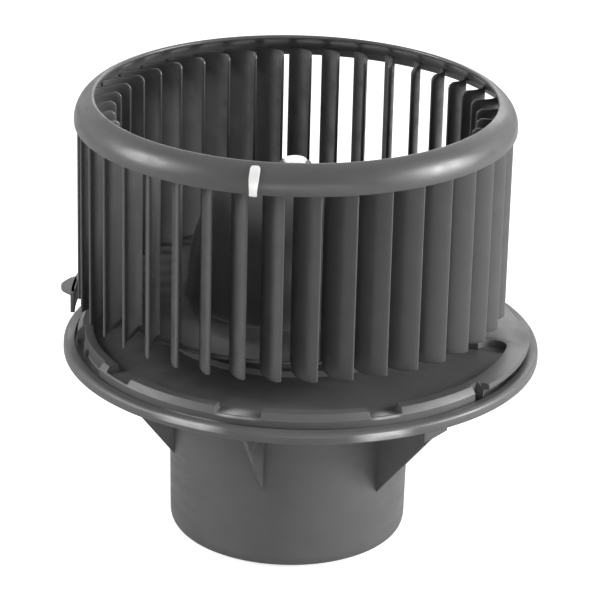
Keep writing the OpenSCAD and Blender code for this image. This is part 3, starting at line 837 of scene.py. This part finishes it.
def housing_section(angle, h):
    """Corners of the housing's section in one direction.

    Each is (radius, height, share of the flange's shift, rounding).
    """
    deck, band = h.deck / MM, h.band / MM
    edge = h.edge / MM
    plate = deck - h.trough_depth / MM - FLOOR_WALL
    can, bore = h.can_radius / MM, h.can_bore / MM
    lean = math.tan(h.can_draft)
    corner = h.can_corner / MM
    foot_can, top_can = can - corner * lean, can + (plate - corner) * lean
    ring, flange = h.spigot_radius / MM, h.flange_radius / MM
    outer, depth = h.trough_radius / MM, h.trough_depth / MM
    nose = NOSE_RADIUS**2 - (math.radians(max(0.0, angle - TROUGH_SPAN[1])) * NOSE_AT) ** 2
    inner = bore + COLLAR_WIDTH
    in_trough = span(angle, *TROUGH_SPAN)
    flange_share = 0.0
    if angle > TROUGH_SPAN[1] - 0.05 and nose > 0.0:
        half = math.sqrt(nose)
        inner, outer = NOSE_AT - half, NOSE_AT + half
        in_trough = min(1.0, half / 0.6)
        flange_share = 1.0
    sunk = deck - depth * in_trough
    notch = max(span(angle, *pair) for pair in NOTCH_SPANS)
    lip = deck - LIP_DROP * notch
    floor = deck - depth * notch
    slot = span(angle, *SLOT_SPAN)
    nick = span(angle, *NICK_SPAN)
    lug = span(angle, *LUG_SPAN)
    cut = SLOT_CUT * slot + NICK_CUT * nick
    wall = ring - cut
    slope = max(0.0, h.ring_bevel / MM * (1.0 - lug) - cut)
    slope_in = min(wall, wall - slope + (deck - lip) / SLOPE_RATE)
    step_r = min(wall - 1.0, slope_in - 0.1)
    slope_low = min(lip, deck - SLOPE_RATE * slope)
    slope_edge = edge * 1.6 + 0.4 * slope
    groove = band + GROOVE_RISE
    band_top, band_in = band + BAND_RISE, ring + GROOVE_WIDTH
    lug_in, lug_out = wall - LUG_UNDERCUT * lug, wall + LUG_REACH * lug
    lug_low = deck - LUG_WALL - 0.2 * (1.0 - lug)
    return [
        (0.0, 0.0, 0.0, 0.0),
        (foot_can, 0.0, 0.0, corner * 1.17),
        (top_can, plate, 0.0, 1.5),
        (ring - SKIRT, plate, 1.0, 1.0),
        (ring - SKIRT, band, 1.0, edge),
        (flange, band, 1.0, edge * 1.5),
        (flange - 0.1, band_top, 1.0, 3.2),
        (band_in, band_top, 1.0, edge),
        (band_in, groove, 1.0, edge),
        (lug_in, groove, 1.0, edge),
        (lug_in, lug_low, 1.0, edge),
        (lug_out, lug_low + 0.01, 1.0, edge),
        (lug_out, slope_low, 1.0, slope_edge),
        (slope_in, lip, 1.0, slope_edge),
        (step_r, lip, 1.0, edge),
        (step_r - 0.05, floor, 1.0, edge),
        (outer + 0.01, floor, 1.0, edge * 1.4),
        (outer, min(sunk, floor), 1.0, edge),
        (inner, sunk, flange_share, edge),
        (inner - 0.01, deck, flange_share, edge),
        (bore, deck, 0.0, edge),
        (bore, h.can_floor / MM, 0.0, 0.8),
        (0.0, h.can_floor / MM, 0.0, 0.0),
    ]


def housing_shell(h, material):
    """Can and flange: sections in all directions joined by faces."""
    angles = flange_angles()
    dx, dy = h.shift[0] / MM, h.shift[1] / MM
    vertices, faces = [], []
    for angle in angles:
        c, s = math.cos(math.radians(angle)), math.sin(math.radians(angle))
        for r, z, weight in rounded(housing_section(angle, h)):
            vertices.append((dx * weight + r * c, dy * weight + r * s, z))
    ring = len(vertices) // len(angles)
    for i in range(len(angles)):
        j = (i + 1) % len(angles)
        for k in range(ring - 1):
            faces.append((i * ring + k, j * ring + k, j * ring + k + 1, i * ring + k + 1))
    return new_piece("housing_shell", vertices, faces, material, 32.0)


RIB_COUNT, FIRST_RIB = 6, -102.0
LEFT_RIB_TIP, RIGHT_RIB_TIP = 30.0, 24.2


def reach_from_axis(h, radius, angle):
    """Distance from the motor axis to the flange's circle of a radius, in a direction."""
    dx, dy = h.shift[0] / MM, h.shift[1] / MM
    c, s = math.cos(math.radians(angle)), math.sin(math.radians(angle))
    along, aside = dx * c + dy * s, dx * s - dy * c
    return along + math.sqrt(radius * radius - aside * aside)


def rib(name, angle, h, material):
    """A thin triangular rib between the can and the corner under the flange."""
    thin, wide = 0.5, 0.8
    band = h.band / MM
    plate = (h.deck - h.trough_depth) / MM - FLOOR_WALL
    turned = math.radians(angle)
    tip = LEFT_RIB_TIP if math.cos(turned) < 0.0 else RIGHT_RIB_TIP
    wall_r = reach_from_axis(h, h.spigot_radius / MM - 1.1, angle)
    can = h.can_radius / MM
    tip_r = can + (tip - h.can_corner / MM) * math.tan(h.can_draft)
    out = Vector((math.cos(turned), math.sin(turned)))
    side = Vector((-out.y, out.x))
    shares = (0.0, 0.004, 0.02, 0.1, 0.3, 0.5, 0.7, 0.85, 0.96, 1.0)
    levels = [tip + (plate - tip) * share for share in shares] + [plate + 0.1, plate + 1.5]
    vertices = []
    near = can - 1.2
    for z in levels:
        far = tip_r + (wall_r - tip_r) * min(1.0, (z - tip) / (plate - tip))
        half = thin + (wide - thin) * min(1.0, (z - tip + 1.0) / (band - tip + 1.0))
        corners = [
            (near, -half, 0.0, 0.0), (far, -half, 0.0, 0.4),
            (far, half, 0.0, 0.4), (near, half, 0.0, 0.0),
        ]
        for x, y, _ in rounded(corners, 4):
            spot = out * x + side * y
            vertices.append((spot.x, spot.y, z))
    faces = tube_faces(len(levels), len(vertices) // len(levels))
    return new_piece(name, vertices, faces, material, 35.0)


ARM_RISE = 10.6  # the lock arm's top above the deck


def thumb_lug(h, material):
    """The rounded lug on the lock arm's free end, flat and a little raised at its rim."""
    deck = h.deck / MM
    low, high = deck + ARM_RISE - 1.8, deck + ARM_RISE
    outline = [
        (-76.6, 11.5, 0.0, 1.0), (-79.2, 9.0, 0.0, 2.5), (-81.9, 3.4, 0.0, 2.6),
        (-81.0, -0.6, 0.0, 2.2), (-76.3, -5.5, 0.0, 0.8), (-75.9, 3.0, 0.0, 0.4),
    ]
    flat = [(x, y) for x, y, _ in rounded(outline, 5)]
    cx = sum(p[0] for p in flat) / len(flat)
    cy = sum(p[1] for p in flat) / len(flat)
    vertices = []
    levels = [(low, 0.93), (low + 0.25, 1.0), (high - 0.4, 1.0), (high - 0.1, 0.97), (high, 0.91)]
    for z, grow in levels:
        vertices += [(cx + (x - cx) * grow, cy + (y - cy) * grow, z) for x, y in flat]
    return new_piece("thumb_lug", vertices, tube_faces(len(levels), len(flat)), material, 40.0)


def motor_housing(settings, material):
    """The whole housing: shell, ribs, lock arm with its lug, and the bayonet tabs."""
    h = settings.housing
    deck, band = h.deck / MM, h.band / MM
    edge = h.edge / MM
    arm_low, arm = 3.0, (76.3, 76.3 + 1.6)
    pieces = [housing_shell(h, material)]
    for i in range(RIB_COUNT):
        pieces.append(rib(f"rib_{i}", FIRST_RIB + i * 360.0 / RIB_COUNT, h, material))
    lengthwise, post = (deck + arm_low, deck + ARM_RISE), (band + 2.7, deck + 4.0)
    pieces.append(sector_solid("arm", arm, lengthwise, (141.0, 184.0), edge, material))
    pieces.append(sector_solid("post", arm, post, (141.0, 147.0), edge, material, 6))
    pieces.append(thumb_lug(h, material))
    at = (h.shift[0] / MM, h.shift[1] / MM)
    tabs = (h.spigot_radius / MM, h.flange_radius / MM - 0.6)
    heights, tab_turn, rise = (band - 3.8, band + 0.5), 6.5, 2.6
    for i, first in enumerate((-60.0, 60.0, 180.0)):
        reach = (first, first + tab_turn)
        pieces.append(sector_solid(f"tab_{i}", tabs, heights, reach, edge, material, 8, at, rise))
    return joined("housing", pieces, 32.0)


# Connector


def box_solid(name, low, high, angle, edge, material):
    """A block with rounded edges, its long side along a direction from the motor axis."""
    work = bmesh.new()
    bmesh.ops.create_cube(work, size=1.0)
    for vertex in work.verts:
        for k in range(3):
            vertex.co[k] = low[k] if vertex.co[k] < 0.0 else high[k]
    bmesh.ops.bevel(
        work, geom=work.edges[:], offset=edge, offset_type="OFFSET", segments=2, profile=0.5,
        affect="EDGES"
    )
    turned = Matrix.Rotation(math.radians(angle), 3, "Z")
    bmesh.ops.rotate(work, verts=work.verts, cent=(0.0, 0.0, 0.0), matrix=turned)
    bmesh.ops.scale(work, vec=(MM, MM, MM), verts=work.verts)
    mesh = bpy.data.meshes.new(name)
    work.to_mesh(mesh)
    work.free()
    return dressed(name, mesh, material, 40.0)


PLUG_ANGLE = 108.0
PLUG_SIZE = (19.8, 10.8)
PLUG_WALL = 1.5


def connector_socket(settings, material):
    """The hollow shroud of the connector with its floor, its collar and two polarising ribs."""
    low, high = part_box("connector_socket")
    middle = (low.z + high.z) / 2.0 / MM
    can = settings.housing.can_radius / MM
    outer = can + 13.0
    half_w, half_h = PLUG_SIZE[0] / 2.0, PLUG_SIZE[1] / 2.0
    wall, edge = PLUG_WALL, 0.25
    near = can + 0.6
    pieces = []

    def block(name, x, y, z, rounding=edge):
        """Adds a rounded block, its heights given from the connector's middle."""
        low_corner, high_corner = (x[0], y[0], middle + z[0]), (x[1], y[1], middle + z[1])
        pieces.append(box_solid(name, low_corner, high_corner, PLUG_ANGLE, rounding, material))

    block("floor", (33.3, near + 0.4), (-half_w, half_w), (-half_h, half_h))
    collar_w, collar_h = half_w + 2.0, half_h + 1.5
    block("collar", (near, near + 1.9), (-collar_w, collar_w), (-collar_h, collar_h), 0.4)
    block("lower", (near, outer), (-half_w, half_w), (-half_h, -half_h + wall))
    block("upper", (near, outer), (-half_w, half_w), (half_h - wall, half_h))
    for side in (-1.0, 1.0):
        y = sorted((side * half_w, side * (half_w - wall)))
        block(f"side_{int(side)}", (near, outer), y, (-half_h, half_h))
    key = (half_h - wall - 0.7, half_h - wall + 0.2)
    for y in (-3.0, 3.0):
        block(f"key_{int(y)}", (near, outer - 1.0), (y - 0.5, y + 0.5), key, 0.1)
    block("catch", (outer - 4.0, outer - 2.0), (-3.0, 3.0), (half_h - 0.1, half_h + 0.9), 0.2)
    return joined("socket", pieces, 40.0)


# Bright clips


def strip(name, path, widths, thickness, direction, material):
    """A bent strip: its side is a path of (radius, height) points, with a width at each."""
    out = Vector((math.cos(direction), math.sin(direction), 0.0))
    side = Vector((-out.y, out.x, 0.0))
    corners = arc((0.0, 0.0), 1.0, 0.0, 315.0, 7)
    vertices = []
    count = len(path)
    round_off = thickness * 0.45
    for i, (radius, height) in enumerate(path):
        before, after = path[max(0, i - 1)], path[min(count - 1, i + 1)]
        run = Vector((after[0] - before[0], after[1] - before[1])).normalized()
        across = Vector((-run.y, run.x))
        half_w, half_t = widths[i] / 2.0 - round_off, thickness / 2.0 - round_off
        for cx, cy in corners:
            w = math.copysign(half_w, cx) + cx * round_off if abs(cx) > 0.01 else 0.0
            t = math.copysign(half_t, cy) + cy * round_off if abs(cy) > 0.01 else 0.0
            spot = Vector((radius, height)) + across * t
            vertices.append(out * spot.x + side * w + Vector((0.0, 0.0, spot.y)))
    return new_piece(name, vertices, tube_faces(count, len(corners)), material, 50.0)


def balance_clip(settings, material):
    """A folded clip that holds the rim's flare from outside and hooks under its lower edge."""
    sizes = settings.clip
    thick = sizes.thickness / MM
    wide, waist = sizes.width / MM, sizes.waist / MM
    gap, start, tail = 0.06, 57.0, 2.2
    clear = gap + thick / 2.0
    foot, inner_foot = RIM_FOOT
    corner = arc(RIM_CENTRE, RIM_OUTER, foot, foot, 1)[0]
    inner = arc(RIM_CENTRE, RIM_OUTER - settings.wheel.rim_wall / MM, inner_foot, inner_foot, 1)[0]
    under = (Vector(inner) - Vector(corner)).normalized()
    away = Vector((-under.y, under.x))
    folded = math.degrees(math.atan2(away.y, away.x)) - 360.0
    path = arc(RIM_CENTRE, RIM_OUTER + clear, start, foot + 1.0, 18)
    path += arc(corner, clear, foot - 6.0, folded, 8)
    path.append(tuple(Vector(corner) + away * clear + under * tail))
    # full width above, pinched to the waist from pinch_at on, and rounded at its upper end
    pinch_at, pinch_over, round_over, end_share = 0.30, 0.28, 0.10, 0.6
    widths = []
    for i in range(len(path)):
        share = i / (len(path) - 1)
        pinch = min(1.0, max(0.0, (share - pinch_at) / pinch_over))
        tip = 1.0 - max(0.0, 1.0 - share / round_over) ** 2
        ends = end_share + (1.0 - end_share) * math.sqrt(tip)
        widths.append((wide - (wide - waist) * pinch) * ends)
    return strip("clip", path, widths, thick, sizes.direction, material)


def shaft_cap(material):
    """A push-on cap: a low skirt with a rounded shoulder and a slightly dished top."""
    low, high = CAP_LOW.z / MM, CAP_HIGH.z / MM
    outer, bore = CAP_HIGH.x / MM, 3.02
    crown = arc((outer - 0.45, high - 0.45), 0.45, 0.0, 90.0, 8)
    profile = [(bore, low), (outer - 0.1, low), (outer, low + 0.1)] + crown
    profile += [(1.6, high), (1.2, high - 0.1), (0.0, high - 0.12)]
    profile += [(0.0, high - 0.46), (bore, high - 0.46)]
    return lathe("cap", profile, material, 64, 40.0)


# The finish of each slot


def finishes(settings):
    """All the materials, by the record's slots."""
    c = settings.finish
    return {
        # the housing's plastic carries painted highlights on its band and on two notch lips
        "housing_plastic": moulded_plastic("housing_plastic", c.plastic, 0.47, highlights=PAINTED_HIGHLIGHTS),
        "wheel_plastic": moulded_plastic("wheel_plastic", c.wheel_plastic, 0.38, grain=0.006),
        "frame_plastic": moulded_plastic("frame_plastic", c.frame_plastic, 0.5, grain=0.02),
        "plated_steel": pressed_steel("plated_steel", c.steel),
        "ground_steel": pressed_steel("ground_steel", times(c.steel, 0.85), 0.24, lines=0.003),
        "bright_steel": bright_steel("bright_steel", c.bright),
        "copper": copper_wire("copper", c.copper),
        "terminal_brass": pressed_steel("terminal_brass", c.brass, 0.26),
        "bearing_bronze": granular("bearing_bronze", c.bronze, 0.42, 0.35, 0.02, metallic=0.9),
        "ferrite": granular("ferrite", c.ferrite, 0.55, 0.5, 0.03),
        "carbon": granular("carbon", c.carbon, 0.60, 0.3, 0.02),
        "damper_rubber": soft_rubber("damper_rubber", c.rubber),
    }


def slot_of(node):
    """The material slot that the record gives a node."""
    for part in frame["record"]["subparts"]:
        if part["node"] == node:
            return part["material_slot"]
    raise ValueError(f"the record gives {node} no slot")


def material_for(node):
    """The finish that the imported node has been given."""
    return frame["nodes"][node].data.materials[0]


class FanOperator(bpy.types.Operator):
    """What the fan's operators share"""
    bl_options = {"REGISTER", "UNDO"}

    @property
    def settings(self):
        """The fan's settings in this scene"""
        return bpy.context.scene.fan_settings


class FAN_OT_finishes(FanOperator):
    """Make the materials and give the inner pieces theirs"""
    bl_idname = "fan.finishes"
    bl_label = "Finishes"

    def execute(self, context):
        made = finishes(self.settings)
        for name, piece in frame["nodes"].items():
            piece.data.materials.clear()
            piece.data.materials.append(made[slot_of(name)])
        return {"FINISHED"}


class FAN_OT_wheel(FanOperator):
    """Make the blower wheel with its ring of blades"""
    bl_idname = "fan.wheel"
    bl_label = "Blower wheel"

    def execute(self, context):
        wheel = blower_wheel(self.settings, material_for("blower_wheel"))
        stands_for(wheel, "wheel_plastic", "rotor", "blower_wheel")
        return {"FINISHED"}


class FAN_OT_housing(FanOperator):
    """Make the moulded housing"""
    bl_idname = "fan.housing"
    bl_label = "Housing"

    def execute(self, context):
        piece = motor_housing(self.settings, material_for("motor_housing"))
        stands_for(piece, "housing_plastic", "housing", "motor_housing")
        return {"FINISHED"}


class FAN_OT_connector(FanOperator):
    """Make the connector's shroud"""
    bl_idname = "fan.connector"
    bl_label = "Connector"

    def execute(self, context):
        piece = connector_socket(self.settings, material_for("connector_socket"))
        stands_for(piece, "housing_plastic", "housing", "connector_socket")
        return {"FINISHED"}


class FAN_OT_clips(FanOperator):
    """Make the balance clip and the shaft's cap"""
    bl_idname = "fan.clips"
    bl_label = "Clips"

    def execute(self, context):
        clip = balance_clip(self.settings, material_for("balance_clip"))
        stands_for(clip, "bright_steel", "rotor", "balance_clip")
        cap = shaft_cap(material_for("shaft_cap"))
        stands_for(cap, "bright_steel", "rotor", "shaft_cap")
        return {"FINISHED"}


def lamp(name, place, aim, watts, width, height):
    """A soft rectangular lamp that faces a point."""
    data = bpy.data.lights.new(name, "AREA")
    data.shape = "RECTANGLE"
    data.size, data.size_y = width, height
    data.energy = watts
    made = bpy.data.objects.new(name, data)
    made.location = place
    made.rotation_euler = (Vector(aim) - Vector(place)).to_track_quat("-Z", "Y").to_euler()
    bpy.context.scene.collection.objects.link(made)
    return made


class FAN_OT_stage(FanOperator):
    """Set the camera, the lamps, the floor and the world"""
    bl_idname = "fan.stage"
    bl_label = "Stage"

    def execute(self, context):
        settings = self.settings.stage
        scene = bpy.context.scene
        camera = bpy.data.objects.new("camera", bpy.data.cameras.new("camera"))
        scene.collection.objects.link(camera)
        camera.data.sensor_width = 36.0
        camera.data.lens = settings.lens
        right = Vector((0.99971834, 0.00635886, 0.02286482))
        up = Vector((-0.02357914, 0.37550767, 0.9265193))
        turned = Matrix((right, up, right.cross(up))).transposed().to_4x4()
        camera.matrix_world = Matrix.Translation(settings.camera_at) @ turned
        scene.camera = camera
        middle = (0.0, 0.0, 0.09)
        lamp("right_lamp", (1.38, -0.20, 0.58), middle, settings.right_watts, 0.5, 0.7)
        lamp("left_lamp", (-1.34, -0.14, 0.72), middle, settings.left_watts, 0.45, 0.7)
        lamp("front_lamp", (0.1, -1.5, 0.35), middle, settings.front_watts, 1.2, 0.5)
        lamp("back_lamp", (0.3, 1.5, 0.8), middle, settings.back_watts, 1.4, 0.5)
        self.floor()
        self.world(settings.world)
        scene.view_settings.view_transform = "Standard"
        return {"FINISHED"}

    def floor(self):
        """A pale floor that shows white to the camera and keeps the fan's shadow."""
        half = 6.0
        corners = [(-half, -half, 0.0), (half, -half, 0.0), (half, half, 0.0), (-half, half, 0.0)]
        mesh = bpy.data.meshes.new("floor")
        mesh.from_pydata(corners, [], [(0, 1, 2, 3)])
        floor = bpy.data.objects.new("floor", mesh)
        bpy.context.scene.collection.objects.link(floor)
        material = bpy.data.materials.new("floor")
        material.use_nodes = True
        nodes = material.node_tree.nodes
        nodes.remove(nodes["Principled BSDF"])
        t = Tree(material.node_tree)
        matt = t.node("ShaderNodeBsdfDiffuse", Color=(0.55, 0.55, 0.55, 1.0))
        strength = (t.ray("Camera") + t.ray("Glossy") * 0.2) * 0.75
        glow = t.node("ShaderNodeEmission", Color=(1.0, 1.0, 1.0, 1.0), Strength=strength)
        whole = t.node("ShaderNodeAddShader", _0=matt, _1=glow)
        t.link(whole, nodes["Material Output"].inputs["Surface"])
        mesh.materials.append(material)

    def world(self, strength):
        """An even pale surround, white where the camera sees it."""
        world = bpy.data.worlds.new("surround")
        bpy.context.scene.world = world
        world.use_nodes = True
        t = Tree(world.node_tree)
        backdrop = world.node_tree.nodes["Background"]
        backdrop.inputs["Color"].default_value = (1.0, 1.0, 1.0, 1.0)
        way = t.node("ShaderNodeTexCoord", output="Generated", vector=True)
        behind = t.node("ShaderNodeSeparateXYZ", output="Y", Vector=way).between(-0.5, 0.7)
        shown = (t.ray("Camera") + t.ray("Glossy") * (0.25 + behind * 0.75)).clamped()
        t.link(shown * (1.0 - strength) + strength, backdrop.inputs["Strength"])


STEPS = (
    FAN_OT_stage, FAN_OT_finishes, FAN_OT_housing, FAN_OT_connector, FAN_OT_wheel, FAN_OT_clips
)


class FAN_PT_sidebar(bpy.types.Panel):
    """Lists the fan's operators"""
    bl_idname = "FAN_PT_sidebar"
    bl_label = "Evaporator fan"
    bl_space_type = "VIEW_3D"
    bl_region_type = "UI"
    bl_category = "Evaporator Fan"

    def draw(self, context):
        for step in STEPS:
            self.layout.operator(step.bl_idname)


CLASSES = (
    WheelSizes, HousingSizes, ClipSizes, Finishes, StageSettings, FanSettings, *STEPS,
    FAN_PT_sidebar
)


def register():
    """Registers the classes and gives the scene its settings."""
    for item in CLASSES:
        bpy.utils.register_class(item)
    bpy.types.Scene.fan_settings = PointerProperty(type=FanSettings)


def unregister():
    """Takes the settings and the classes away again."""
    del bpy.types.Scene.fan_settings
    for item in reversed(CLASSES):
        bpy.utils.unregister_class(item)


def main():
    """Makes the whole fan and its stage."""
    register()
    for step in STEPS:
        group, action = step.bl_idname.split(".")
        getattr(getattr(bpy.ops, group), action)()


if __name__ == "__main__":
    main()
